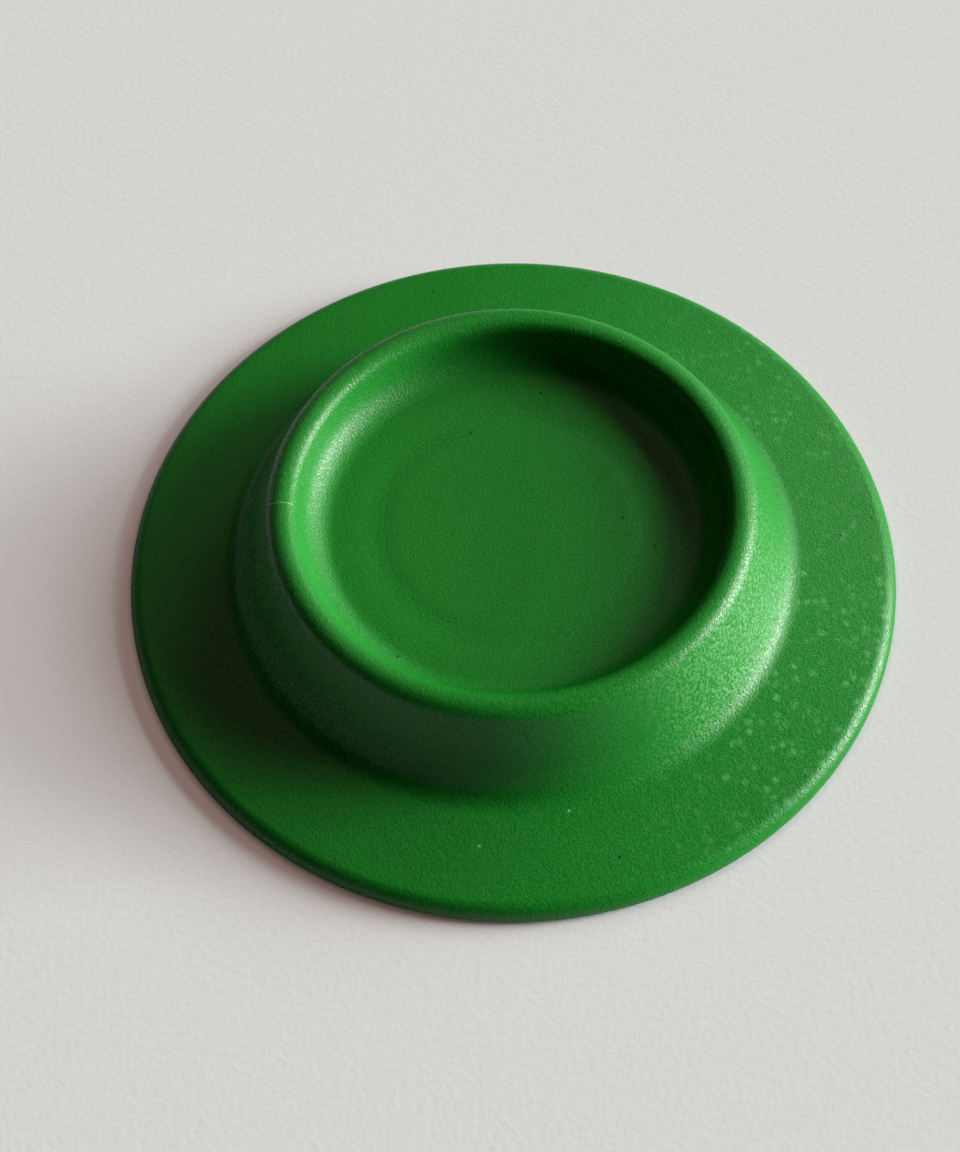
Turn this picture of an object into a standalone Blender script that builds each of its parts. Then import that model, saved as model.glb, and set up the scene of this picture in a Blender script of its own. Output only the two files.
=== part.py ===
# Magnetic soap holder: a round brim with a raised crown, moulded in green plastic.
# The recess in the crown seats the steel cap that is pressed into the soap, and a disc
# magnet under the recess floor holds it. A back cover closes the underside, and an
# adhesive pad with its release liner fastens the holder to a wall.
# Units are metres, +Z points out of the wall, and the origin is the centre of the
# liner's lower face.

import math

import bmesh
import bpy
from mathutils import Matrix

MM = 0.001

# Outer shape of the moulding
BRIM_RADIUS = 40.0 * MM
BRIM_THICKNESS = 2.0 * MM
BRIM_EDGE_RADIUS = 1.3 * MM
BRIM_FOOT_RADIUS = 0.3 * MM
BRIM_SLOPE = math.radians(7.0)
CREST_RADIUS = 23.05 * MM
CREST_HEIGHT = 13.1 * MM
CREST_LAND_RADIUS = 2.0 * MM
CREST_LAND_TILT = math.radians(15.0)
CREST_INNER_RADIUS = 1.3 * MM
CREST_OUTER_RADIUS = 1.85 * MM
OUTER_WALL_SLOPE = math.radians(69.5)
BASE_SWEEP_RADIUS = 9.8 * MM
BASE_SWEEP_SLOPE = math.radians(52.0)
BASE_FILLET_RADIUS = 2.75 * MM
INNER_WALL_SLOPE = math.radians(78.5)
FLOOR_FILLET_RADIUS = 3.1 * MM

# Walls of the moulding under that shape
FLOOR_THICKNESS = 1.6 * MM
CROWN_WALL = 1.4 * MM
CROWN_TOP_WALL = 3.0 * MM
HOLLOW_SLOPE = math.radians(80.0)
SOCKET_WALL = 1.45 * MM
RIB_COUNT = 8
RIB_THICKNESS = 1.0 * MM
RIB_ROOT = 0.2 * MM

# Pieces that are stacked under the recess floor, from the wall upwards
LINER_THICKNESS = 0.15 * MM
PAD_RADIUS = 30.0 * MM
PAD_THICKNESS = 0.7 * MM
PAD_CHAMFER = 0.1 * MM
COVER_RADIUS = 26.5 * MM
COVER_THICKNESS = 1.0 * MM
COVER_CHAMFER = 0.25 * MM
SEAL_COLLAR_WALL = 1.0 * MM
SEAL_COLLAR_RISE = 0.3 * MM
PLATE_RADIUS = 12.5 * MM
PLATE_THICKNESS = 0.9 * MM
MAGNET_RADIUS = 12.5 * MM
MAGNET_THICKNESS = 3.0 * MM
MAGNET_CHAMFER = 0.2 * MM
PLATE_CHAMFER = 0.1 * MM
SEAL_CORD = 1.2 * MM
TAB_WIDTH = 12.0 * MM
TAB_REACH = 35.0 * MM

# Clearances
STACK_GAP = 0.25 * MM
EDGE_GAP = 0.3 * MM
SEAL_GAP = 0.2 * MM
BRIM_STANDOFF = 0.3 * MM

# Facets
BODY_STEPS = 72
DISC_STEPS = 56
SEAL_STEPS = 48
FILLET_FACET = math.radians(16.0)
SEAL_FACET = math.radians(36.0)
OUTLINE_FACET = math.radians(6.0)
SHARP_ANGLE = math.radians(35.0)
MERGE_DISTANCE = 0.001 * MM

# Heights that the stack adds up to
PAD_BOTTOM = LINER_THICKNESS + STACK_GAP
PAD_TOP = PAD_BOTTOM + PAD_THICKNESS
COVER_BOTTOM = PAD_TOP + STACK_GAP
COVER_TOP = COVER_BOTTOM + COVER_THICKNESS
COVER_SEAT = COVER_TOP + STACK_GAP
PLATE_TOP = COVER_SEAT + PLATE_THICKNESS
MAGNET_BOTTOM = PLATE_TOP + STACK_GAP
MAGNET_TOP = MAGNET_BOTTOM + MAGNET_THICKNESS
CEILING = MAGNET_TOP + STACK_GAP
FLOOR_TOP = CEILING + FLOOR_THICKNESS
BRIM_BOTTOM = BRIM_STANDOFF
BRIM_TOP = BRIM_BOTTOM + BRIM_THICKNESS
CREST_TOP = BRIM_BOTTOM + CREST_HEIGHT

# Centre of the rounding on the brim's upper edge
BRIM_EDGE_CENTRE = (BRIM_RADIUS - BRIM_EDGE_RADIUS, BRIM_TOP - BRIM_EDGE_RADIUS)

# Radii that follow from the pieces they hold
SOCKET_INNER = max(MAGNET_RADIUS, PLATE_RADIUS) + EDGE_GAP
SOCKET_OUTER = SOCKET_INNER + SOCKET_WALL
SEAL_CENTRE_RADIUS = SOCKET_OUTER + SEAL_GAP + SEAL_CORD / 2
COLLAR_INNER = SOCKET_OUTER + 2 * SEAL_GAP + SEAL_CORD
COLLAR_OUTER = COLLAR_INNER + SEAL_COLLAR_WALL
COLLAR_TOP = COVER_SEAT + SEAL_CORD + SEAL_COLLAR_RISE
COVER_REBATE = COVER_RADIUS + EDGE_GAP
PAD_REBATE = PAD_RADIUS + EDGE_GAP


def clear_scene():
    """Removes what a new Blender file holds."""
    for obj in list(bpy.data.objects):
        bpy.data.objects.remove(obj, do_unlink=True)


def new_collection(name):
    """A collection under the scene's own."""
    collection = bpy.data.collections.new(name)
    bpy.context.scene.collection.children.link(collection)
    return collection


def new_material(name, colour, roughness, metallic=0.0):
    """A plain Principled material with a linear colour."""
    material = bpy.data.materials.new(name)
    material.use_nodes = True
    shader = material.node_tree.nodes["Principled BSDF"]
    shader.inputs["Base Color"].default_value = (*colour, 1.0)
    shader.inputs["Roughness"].default_value = roughness
    shader.inputs["Metallic"].default_value = metallic
    return material


def add_mesh_object(name, bm, collection, material=None):
    """Turns a bmesh into an object at the origin."""
    mesh = bpy.data.meshes.new(name)
    bm.to_mesh(mesh)
    bm.free()
    obj = bpy.data.objects.new(name, mesh)
    collection.objects.link(obj)
    if material is not None:
        mesh.materials.append(material)
    return obj


def settle(obj):
    """Applies the modifiers and shades the mesh smooth up to its corners."""
    graph = bpy.context.evaluated_depsgraph_get()
    mesh = bpy.data.meshes.new_from_object(obj.evaluated_get(graph))
    obj.modifiers.clear()
    obj.data = mesh
    mesh.shade_smooth()
    mesh.set_sharp_from_angle(angle=SHARP_ANGLE)


def arc(centre, radius, start, end, facet=FILLET_FACET):
    """Points on an arc from one angle to another, each step at most one facet wide."""
    steps = max(2, math.ceil(abs(end - start) / facet))
    points = []
    for i in range(steps + 1):
        angle = start + (end - start) * i / steps
        points.append((centre[0] + radius * math.cos(angle), centre[1] + radius * math.sin(angle)))
    return points


def turned(name, profile, steps, collection, material):
    """A solid of revolution about Z from a profile that runs down its outer side."""
    bm = bmesh.new()
    verts = [bm.verts.new((radius, 0.0, height)) for radius, height in profile]
    for first, second in zip(verts, verts[1:]):
        bm.edges.new((first, second))
    if profile[0][0] > 0.0:
        bm.edges.new((verts[-1], verts[0]))
    obj = add_mesh_object(name, bm, collection, material)
    screw = obj.modifiers.new("Turn", "SCREW")
    screw.axis = "Z"
    screw.angle = math.tau
    screw.steps = steps
    screw.render_steps = steps
    screw.use_merge_vertices = True
    screw.merge_threshold = MERGE_DISTANCE
    return obj


def crest_arcs():
    """The crown's rounded top: a broad land arc between an inner and an outer edge arc."""
    land_centre = (CREST_RADIUS, CREST_TOP - CREST_LAND_RADIUS)
    across = math.sin(CREST_LAND_TILT)
    upwards = math.cos(CREST_LAND_TILT)
    inner_shift = CREST_LAND_RADIUS - CREST_INNER_RADIUS
    outer_shift = CREST_LAND_RADIUS - CREST_OUTER_RADIUS
    inner_centre = (
        land_centre[0] - inner_shift * across,
        land_centre[1] + inner_shift * upwards,
    )
    outer_centre = (
        land_centre[0] + outer_shift * across,
        land_centre[1] + outer_shift * upwards,
    )
    up = math.pi / 2
    inner = arc(inner_centre, CREST_INNER_RADIUS, up + INNER_WALL_SLOPE, up + CREST_LAND_TILT)
    land = arc(land_centre, CREST_LAND_RADIUS, up + CREST_LAND_TILT, up - CREST_LAND_TILT)
    outer = arc(outer_centre, CREST_OUTER_RADIUS, up - CREST_LAND_TILT, up - OUTER_WALL_SLOPE)
    return inner + land[1:] + outer[1:]


def floor_fillet(wall_end):
    """The fillet from the recess floor up to the inner wall that ends at wall_end."""
    rise = FLOOR_FILLET_RADIUS * (1.0 - math.cos(INNER_WALL_SLOPE))
    wall_run = (wall_end[1] - FLOOR_TOP - rise) / math.tan(INNER_WALL_SLOPE)
    fillet_end = wall_end[0] - wall_run
    centre_radius = fillet_end - FLOOR_FILLET_RADIUS * math.sin(INNER_WALL_SLOPE)
    centre = (centre_radius, FLOOR_TOP + FLOOR_FILLET_RADIUS)
    down = -math.pi / 2
    return arc(centre, FLOOR_FILLET_RADIUS, down, down + INNER_WALL_SLOPE)


def slope_normal(slope):
    """Direction square to a surface that falls outwards at the given slope."""
    return (math.sin(slope), math.cos(slope))


def along(normal, point):
    """Distance of a point from the axis' foot, measured along a direction."""
    return normal[0] * point[0] + normal[1] * point[1]


def base_curve(wall_start):
    """The foot of the outer wall that starts at wall_start: a wide sweep, then a tighter
    fillet that ends on the sloping brim.
    """
    wall = slope_normal(OUTER_WALL_SLOPE)
    middle = slope_normal(BASE_SWEEP_SLOPE)
    brim = slope_normal(BRIM_SLOPE)
    shift = BASE_SWEEP_RADIUS - BASE_FILLET_RADIUS
    from_wall = along(wall, wall_start) + BASE_SWEEP_RADIUS - shift * along(wall, middle)
    from_brim = along(brim, BRIM_EDGE_CENTRE) + BRIM_EDGE_RADIUS + BASE_FILLET_RADIUS
    spread = math.sin(OUTER_WALL_SLOPE - BRIM_SLOPE)
    fillet_centre = (
        (from_wall * brim[1] - from_brim * wall[1]) / spread,
        (from_brim * wall[0] - from_wall * brim[0]) / spread,
    )
    sweep_centre = (
        fillet_centre[0] + shift * middle[0],
        fillet_centre[1] + shift * middle[1],
    )
    down = -math.pi / 2
    turn = down - BASE_SWEEP_SLOPE
    sweep = arc(sweep_centre, BASE_SWEEP_RADIUS, down - OUTER_WALL_SLOPE, turn)
    fillet = arc(fillet_centre, BASE_FILLET_RADIUS, turn, down - BRIM_SLOPE)
    return sweep + fillet[1:]


def brim_edge():
    """The brim's rim: a large rounding above and a small one at the foot."""
    foot_centre = (BRIM_RADIUS - BRIM_FOOT_RADIUS, BRIM_BOTTOM + BRIM_FOOT_RADIUS)
    top = arc(BRIM_EDGE_CENTRE, BRIM_EDGE_RADIUS, math.pi / 2 - BRIM_SLOPE, 0.0)
    foot = arc(foot_centre, BRIM_FOOT_RADIUS, 0.0, -math.pi / 2)
    return top + foot


def hollow_outer_radius(wall_start, height):
    """Radius of the crown hollow's outer side, which starts one wall inside the crown's."""
    run = (wall_start[1] - height) / math.tan(HOLLOW_SLOPE)
    return wall_start[0] + run - CROWN_WALL / math.sin(OUTER_WALL_SLOPE)


def hollow_inner_radius(wall_end, height):
    """Radius of the crown hollow's inner side, one wall outside the recess wall."""
    run = (wall_end[1] - height) / math.tan(INNER_WALL_SLOPE)
    return wall_end[0] - run + CROWN_WALL / math.sin(INNER_WALL_SLOPE)


def underside(wall_end, wall_start):
    """The lower profile from the foot of the brim inwards to the axis."""
    hollow_top = CREST_TOP - CROWN_TOP_WALL
    return [
        (PAD_REBATE, BRIM_BOTTOM),
        (PAD_REBATE, COVER_BOTTOM),
        (COVER_REBATE, COVER_BOTTOM),
        (COVER_REBATE, COVER_SEAT),
        (hollow_outer_radius(wall_start, COVER_SEAT), COVER_SEAT),
        (hollow_outer_radius(wall_start, hollow_top), hollow_top),
        (hollow_inner_radius(wall_end, hollow_top), hollow_top),
        (hollow_inner_radius(wall_end, CEILING), CEILING),
        (SOCKET_OUTER, CEILING),
        (SOCKET_OUTER, COVER_SEAT),
        (SOCKET_INNER, COVER_SEAT),
        (SOCKET_INNER, CEILING),
        (0.0, CEILING),
    ]


def make_ribs(inner_radius, outer_radius, collection):
    """Radial ribs for the crown hollow, from inside the floor down to the cover's seat."""
    length = outer_radius - inner_radius
    top = CEILING + RIB_ROOT
    bm = bmesh.new()
    for i in range(RIB_COUNT):
        angle = math.tau * (i + 0.5) / RIB_COUNT
        rib = bmesh.ops.create_cube(bm, size=1.0)["verts"]
        bmesh.ops.scale(bm, vec=(length, RIB_THICKNESS, top - COVER_SEAT), verts=rib)
        middle = (inner_radius + length / 2, 0.0, (top + COVER_SEAT) / 2)
        bmesh.ops.translate(bm, vec=middle, verts=rib)
        bmesh.ops.rotate(bm, matrix=Matrix.Rotation(angle, 3, "Z"), verts=rib)
    ribs = add_mesh_object("crown_ribs_shape", bm, collection)
    ribs.hide_render = True
    ribs.display_type = "WIRE"
    return ribs


def make_holder_body(parts, shapes):
    """The green moulding: recess, crown, brim and the hollow underside with its ribs."""
    crest = crest_arcs()
    wall_end = crest[0]
    wall_start = crest[-1]
    profile = [(0.0, FLOOR_TOP)]
    profile += floor_fillet(wall_end)
    profile += crest
    profile += base_curve(wall_start)
    profile += brim_edge()
    profile += underside(wall_end, wall_start)
    green = new_material("green_plastic", (0.032, 0.215, 0.040), 0.5)
    body = turned("holder_body", profile, BODY_STEPS, parts, green)
    rib_end = hollow_outer_radius(wall_start, COVER_SEAT) + RIB_ROOT
    join = body.modifiers.new("Ribs", "BOOLEAN")
    join.operation = "UNION"
    join.solver = "EXACT"
    join.object = make_ribs(COLLAR_OUTER + EDGE_GAP, rib_end, shapes)


def make_disc(name, radius, bottom, top, chamfer, parts, material):
    """A flat round disc with a small chamfer on both edges."""
    profile = [
        (0.0, top),
        (radius - chamfer, top),
        (radius, top - chamfer),
        (radius, bottom + chamfer),
        (radius - chamfer, bottom),
        (0.0, bottom),
    ]
    return turned(name, profile, DISC_STEPS, parts, material)


def make_magnet(parts):
    """The disc magnet, nickel-plated, in the socket under the recess floor."""
    nickel = new_material("nickel_plating", (0.56, 0.54, 0.50), 0.25, 1.0)
    make_disc("magnet", MAGNET_RADIUS, MAGNET_BOTTOM, MAGNET_TOP, MAGNET_CHAMFER, parts, nickel)


def make_backing_plate(parts):
    """The steel plate behind the magnet, which turns its pull towards the recess."""
    steel = new_material("zinc_plated_steel", (0.42, 0.43, 0.44), 0.38, 1.0)
    make_disc(
        "steel_backing_plate", PLATE_RADIUS, COVER_SEAT, PLATE_TOP, PLATE_CHAMFER, parts, steel
    )


def make_back_cover(parts):
    """The back cover, with the collar that holds the seal on the magnet's socket."""
    profile = [
        (0.0, COVER_TOP),
        (COLLAR_INNER, COVER_TOP),
        (COLLAR_INNER, COLLAR_TOP),
        (COLLAR_OUTER, COLLAR_TOP),
        (COLLAR_OUTER, COVER_TOP),
        (COVER_RADIUS - COVER_CHAMFER, COVER_TOP),
        (COVER_RADIUS, COVER_TOP - COVER_CHAMFER),
        (COVER_RADIUS, COVER_BOTTOM),
        (0.0, COVER_BOTTOM),
    ]
    plastic = new_material("cover_plastic", (0.030, 0.180, 0.036), 0.55)
    turned("back_cover", profile, DISC_STEPS, parts, plastic)


def make_seal_ring(parts):
    """The rubber ring between the magnet's socket and the cover's collar."""
    rubber = new_material("black_rubber", (0.018, 0.018, 0.018), 0.7)
    centre = (SEAL_CENTRE_RADIUS, COVER_SEAT + SEAL_CORD / 2)
    top = math.pi / 2
    profile = arc(centre, SEAL_CORD / 2, top, top - math.tau, SEAL_FACET)[:-1]
    turned("seal_ring", profile, SEAL_STEPS, parts, rubber)


def make_adhesive_pad(parts):
    """The round foam pad, sticky on both faces, in the rebate of the underside."""
    foam = new_material("adhesive_foam", (0.70, 0.70, 0.68), 0.85)
    make_disc("adhesive_pad", PAD_RADIUS, PAD_BOTTOM, PAD_TOP, PAD_CHAMFER, parts, foam)


def make_release_liner(parts):
    """The thin liner on the pad, with a round-ended pull tab that reaches under the brim."""
    film = new_material("liner_film", (0.80, 0.80, 0.76), 0.45)
    half_tab = TAB_WIDTH / 2
    tab_root = math.asin(half_tab / PAD_RADIUS)
    outline = arc((0.0, 0.0), PAD_RADIUS, tab_root, math.tau - tab_root, OUTLINE_FACET)
    outline += arc((TAB_REACH - half_tab, 0.0), half_tab, -math.pi / 2, math.pi / 2)
    bm = bmesh.new()
    face = bm.faces.new([bm.verts.new((x, y, 0.0)) for x, y in outline])
    raised = bmesh.ops.extrude_face_region(bm, geom=[face])["geom"]
    upper = [item for item in raised if isinstance(item, bmesh.types.BMVert)]
    bmesh.ops.translate(bm, vec=(0.0, 0.0, LINER_THICKNESS), verts=upper)
    bmesh.ops.recalc_face_normals(bm, faces=bm.faces)
    add_mesh_object("release_liner", bm, parts, film)


def main():
    """Builds every piece of the holder."""
    clear_scene()
    parts = new_collection("magnetic_soap_holder")
    shapes = new_collection("shapes_for_booleans")
    make_holder_body(parts, shapes)
    make_magnet(parts)
    make_backing_plate(parts)
    make_seal_ring(parts)
    make_back_cover(parts)
    make_adhesive_pad(parts)
    make_release_liner(parts)
    for piece in parts.objects:
        settle(piece)


main()
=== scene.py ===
# %% [markdown]
# # A magnetic soap holder
# The real object is one green plastic moulding. A wide brim keeps drips off the wall, a raised
# crown stands on the brim, and the recess in the crown takes the steel cap on a bar of soap.
# A magnet sits under the recess floor, a cover closes the back, and a foam pad sticks to the wall.
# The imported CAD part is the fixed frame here. Each piece below is a finer surface for one of
# its solids, worked out with numpy from the same sizes, apart from the rounding of the rim.

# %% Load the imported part
import math

import bpy
import numpy as np
from mathutils import Matrix, Vector


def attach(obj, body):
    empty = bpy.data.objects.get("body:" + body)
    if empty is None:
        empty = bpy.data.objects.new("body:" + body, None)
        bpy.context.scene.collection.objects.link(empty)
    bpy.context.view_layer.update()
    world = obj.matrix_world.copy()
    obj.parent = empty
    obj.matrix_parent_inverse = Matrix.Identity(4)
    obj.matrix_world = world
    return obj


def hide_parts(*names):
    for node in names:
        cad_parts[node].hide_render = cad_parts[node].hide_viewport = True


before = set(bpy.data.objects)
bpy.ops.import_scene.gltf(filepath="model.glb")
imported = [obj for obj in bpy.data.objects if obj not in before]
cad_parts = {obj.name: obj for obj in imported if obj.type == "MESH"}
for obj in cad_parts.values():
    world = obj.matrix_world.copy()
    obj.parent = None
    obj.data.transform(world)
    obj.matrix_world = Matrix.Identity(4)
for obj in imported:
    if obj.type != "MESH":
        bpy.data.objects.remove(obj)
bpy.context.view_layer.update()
MM = 0.001
print("frame nodes:", ", ".join(sorted(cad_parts)))

# %% [markdown]
# ## The camera
# The brim's outline and the crest's outline are two circles, so their shapes in the picture say
# where the camera stood. It looked down at the holder at about 59 degrees from a quarter of a
# metre away. The numbers are the fitted ones: focal length in pixels of a 960 x 1152 picture,
# distance, height angle, sideways and upward shift, and roll.

# %% Camera
FOCAL_PIXELS = 2250.0
VIEW_DISTANCE = 236.75 * MM
VIEW_HEIGHT = math.radians(58.82)
VIEW_ASIDE = 3.42 * MM
VIEW_ABOVE = 0.66 * MM
VIEW_ROLL = math.radians(-1.97)
PICTURE_LONG_SIDE = 1152
SENSOR = 36.0


def place_camera():
    """Stands the camera on its fitted spot, turned by the roll about its own line of sight."""
    right = Vector((1.0, 0.0, 0.0))
    ahead = Vector((0.0, math.cos(VIEW_HEIGHT), -math.sin(VIEW_HEIGHT)))
    above = Vector((0.0, math.sin(VIEW_HEIGHT), math.cos(VIEW_HEIGHT)))
    turned_right = math.cos(VIEW_ROLL) * right + math.sin(VIEW_ROLL) * above
    turned_above = -math.sin(VIEW_ROLL) * right + math.cos(VIEW_ROLL) * above
    data = bpy.data.cameras.new("camera")
    data.sensor_width = SENSOR
    data.lens = FOCAL_PIXELS / PICTURE_LONG_SIDE * SENSOR
    camera = bpy.data.objects.new("camera", data)
    bpy.context.scene.collection.objects.link(camera)
    turn = Matrix((turned_right, turned_above, -ahead)).transposed().to_4x4()
    spot = -ahead * VIEW_DISTANCE - right * VIEW_ASIDE - above * VIEW_ABOVE
    camera.matrix_world = Matrix.Translation(spot) @ turn
    bpy.context.scene.camera = camera
    return camera


camera = place_camera()
print("camera at", [round(c, 4) for c in camera.location], "lens", camera.data.lens)

# %% [markdown]
# ## The light
# The photograph has daylight from low on the right and almost nothing from the other side, so
# the crown's shadow runs over the left of the brim. The light was worked out from the picture:
# the holder was rendered once under each of many small lamps, and the mix of those pictures
# that comes nearest to the photograph says how strong each direction is. It is a tall strip,
# brightest close above the horizon, with a wide dim band beside it. Four rectangular lamps give
# that. They stand twelve metres off, so the paper is lit evenly far beyond the holder.

# %% Lamps
LAMP_DISTANCE = 12.0
DAYLIGHT = (1.0, 1.0, 0.985)


def place_lamp(name, azimuth, height, wide, tall, power):
    """Puts a lamp on a sphere round the holder, facing its middle.

    Angles are in degrees. A lamp seen w degrees wide from distance d is 2 d tan(w / 2) across.
    The light that arrives falls with the square of the distance, so the power is given per
    square metre of distance and grows with it.
    """
    data = bpy.data.lights.new(name, "AREA")
    data.shape = "RECTANGLE"
    data.size = 2 * LAMP_DISTANCE * math.tan(math.radians(wide) / 2)
    data.size_y = 2 * LAMP_DISTANCE * math.tan(math.radians(tall) / 2)
    data.energy = power * LAMP_DISTANCE**2
    data.color = DAYLIGHT
    lamp = bpy.data.objects.new(name, data)
    bpy.context.scene.collection.objects.link(lamp)
    around, up = math.radians(azimuth), math.radians(height)
    towards = Vector(
        (math.cos(up) * math.cos(around), math.cos(up) * math.sin(around), math.sin(up))
    )
    lamp.rotation_mode = "QUATERNION"
    lamp.rotation_quaternion = towards.to_track_quat("Z", "Y")
    lamp.location = towards * LAMP_DISTANCE
    print(name, "at", [round(c, 3) for c in lamp.location])
    return lamp


place_lamp("horizon_light", azimuth=4.0, height=9.0, wide=17.0, tall=7.0, power=9.0)
place_lamp("low_light", azimuth=7.0, height=19.5, wide=22.0, tall=8.0, power=6.75)
place_lamp("high_light", azimuth=4.0, height=31.0, wide=20.0, tall=12.0, power=5.4)
place_lamp("side_light", azimuth=38.0, height=31.0, wide=44.0, tall=16.0, power=3.9)

# %% [markdown]
# ## Small helpers for shader nodes
# The world and all the finishes are node trees. These helpers add one node each and link what
# they are given, so that a tree reads like a formula further down.


# %% Shader helpers
def add_node(tree, kind, values=None, **settings):
    """Adds a shader node. values sets its inputs by name or number, settings its options."""
    node = tree.nodes.new(kind)
    for key, setting in settings.items():
        setattr(node, key, setting)
    for key, value in (values or {}).items():
        socket = node.inputs[key]
        if isinstance(value, bpy.types.NodeSocket):
            tree.links.new(value, socket)
        else:
            socket.default_value = value
    return node


def maths(tree, operation, *values):
    """One Math node; each value is a number or an output."""
    return add_node(tree, "ShaderNodeMath", dict(enumerate(values)), operation=operation).outputs[0]


def vector_maths(tree, operation, *values, output="Vector"):
    """One Vector Math node; each value is a vector or an output."""
    node = add_node(tree, "ShaderNodeVectorMath", dict(enumerate(values)), operation=operation)
    return node.outputs[output]


def spread(tree, value, low, high, bottom=0.0, top=1.0, **settings):
    """bottom + (top - bottom) * (value - low) / (high - low), held at both ends."""
    values = {"Value": value, "From Min": low, "From Max": high, "To Min": bottom, "To Max": top}
    return add_node(tree, "ShaderNodeMapRange", values, **settings).outputs["Result"]


# %% [markdown]
# ## The room
# The room round the real holder gives almost no light, apart from a warm patch high on the far
# side, perhaps a lit wall. An environment picture could hold that, but a smooth step round one
# direction is enough. What the camera sees past the paper is a pale backdrop, which lights
# nothing. Mirror rays see the backdrop too, but only close above the horizon: higher up, a whole
# pale room would shine in the satin plastic and hide the shadows.

# %% World
scene = bpy.context.scene
scene.view_settings.view_transform = "Standard"

PATCH_MIDDLE = (-0.137, 0.512, 0.848)
PATCH_EDGE_COSINE = 0.90
PATCH_FULL_COSINE = 0.985
PATCH_BRIGHT = 0.50
ROOM_DARK = 0.004
ROOM_WARM = (1.0, 0.86, 0.62, 1.0)
BACKDROP = (0.72, 0.72, 0.69, 1.0)
HORIZON_BAND = 0.06


def light_room():
    """A dark room with a warm patch, and a pale backdrop for the camera and for low mirror rays.

    The patch's share is a smooth step of the cosine between a ray and the patch's middle. A
    mirror ray's share of the backdrop falls from 1 at the horizon to 0 at the band's height.
    """
    world = bpy.data.worlds.new("room")
    scene.world = world
    world.use_nodes = True
    tree = world.node_tree
    tree.nodes.clear()
    ray = add_node(tree, "ShaderNodeTexCoord").outputs["Generated"]
    cosine = vector_maths(tree, "DOT_PRODUCT", ray, PATCH_MIDDLE, output="Value")
    patch = spread(tree, cosine, PATCH_EDGE_COSINE, PATCH_FULL_COSINE, ROOM_DARK, PATCH_BRIGHT,
                   interpolation_type="SMOOTHSTEP")
    dim = add_node(tree, "ShaderNodeBackground", {"Color": ROOM_WARM, "Strength": patch})
    pale = add_node(tree, "ShaderNodeBackground", {"Color": BACKDROP, "Strength": 1.0})
    height = add_node(tree, "ShaderNodeSeparateXYZ", {0: ray}).outputs["Z"]
    low = spread(tree, height, 0.0, HORIZON_BAND, 1.0, 0.0)
    path = add_node(tree, "ShaderNodeLightPath").outputs
    mirrored = maths(tree, "MAXIMUM", path["Is Glossy Ray"], path["Is Transmission Ray"])
    mirrored_low = maths(tree, "MULTIPLY", mirrored, low)
    seen = maths(tree, "MAXIMUM", path["Is Camera Ray"], mirrored_low)
    mix = add_node(tree, "ShaderNodeMixShader", {0: seen, 1: dim.outputs[0], 2: pale.outputs[0]})
    add_node(tree, "ShaderNodeOutputWorld", {"Surface": mix.outputs[0]})
    print(world.name, "is a world with a backdrop of", BACKDROP[:3])


light_room()

# %% [markdown]
# ## Surfaces of revolution
# Nearly every piece of the holder is round about one axis. Such a shape is a profile, a list of
# radius and height pairs, turned about Z. The profile comes from arcs and straight runs held as
# numpy arrays, so a curve is as fine as it needs to be. A Screw modifier could turn it too, but
# here the poles and the closed rings stay in plain sight.

# %% Arcs and runs
SAME_POINT = 1e-4 * MM


def arc(centre, radius, start, end, count):
    """Points at centre + radius * (cos, sin) of an angle that runs from start to end."""
    angle = np.linspace(start, end, count)
    return np.column_stack([centre[0] + radius * np.cos(angle), centre[1] + radius * np.sin(angle)])


def run(first, last, count):
    """Points first * (1 - t) + last * t, for evenly spaced t from 0 to 1."""
    share = np.linspace(0.0, 1.0, count)[:, None]
    return np.array(first) * (1.0 - share) + np.array(last) * share


def eased(corners, radius, count=5, most=0.45):
    """Rounds the inner corners of an open profile, each by a small curve tangent to both sides.

    The curve is quadratic: (1-t)^2 of its start, 2t(1-t) of the corner and t^2 of its end. It
    starts and ends one radius from the corner, or at the share most of a side that is short.
    """
    corners = np.asarray(corners, float)
    before, here, after = corners[:-2], corners[1:-1], corners[2:]
    back = before - here
    onward = after - here
    back_length = np.linalg.norm(back, axis=1, keepdims=True)
    onward_length = np.linalg.norm(onward, axis=1, keepdims=True)
    reach = np.minimum(radius, most * np.minimum(back_length, onward_length))
    start = here + back / back_length * reach
    end = here + onward / onward_length * reach
    t = np.linspace(0.0, 1.0, count)[None, :, None]
    curve = (1 - t) ** 2 * start[:, None] + 2 * t * (1 - t) * here[:, None] + t**2 * end[:, None]
    return np.vstack([corners[:1], curve.reshape(-1, 2), corners[-1:]])


def joined(*parts):
    """Chains profile parts and drops the points that repeat."""
    points = np.vstack(parts)
    keep = np.ones(len(points), bool)
    keep[1:] = np.linalg.norm(np.diff(points, axis=0), axis=1) > SAME_POINT
    return points[keep]


# %% [markdown]
# ## From points to a mesh
# A grid of points becomes four-cornered faces. The grid's columns close into a ring, and where a
# ring shrinks to one point on the axis, a fan of triangles closes it.


# %% Faces and the turning
def grid_faces(rows, columns):
    """Four-cornered faces between each row and the next; column c has c + 1 beside it."""
    row, column = np.meshgrid(np.arange(rows - 1), np.arange(columns), indexing="ij")
    beside = (column + 1) % columns
    a = row * columns + column
    b = (row + 1) * columns + column
    c = (row + 1) * columns + beside
    d = row * columns + beside
    return np.stack([a, b, c, d], -1).reshape(-1, 4)


def pole_fans(rows, columns):
    """Triangles that close the first and last rows, to the two points after the grid's own."""
    here = np.arange(columns)
    beside = (here + 1) % columns
    last = (rows - 1) * columns
    top = np.full(columns, rows * columns)
    first_fan = np.stack([top, here, beside], -1)
    last_fan = np.stack([last + here, top + 1, last + beside], -1)
    return first_fan.tolist() + last_fan.tolist()


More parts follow.
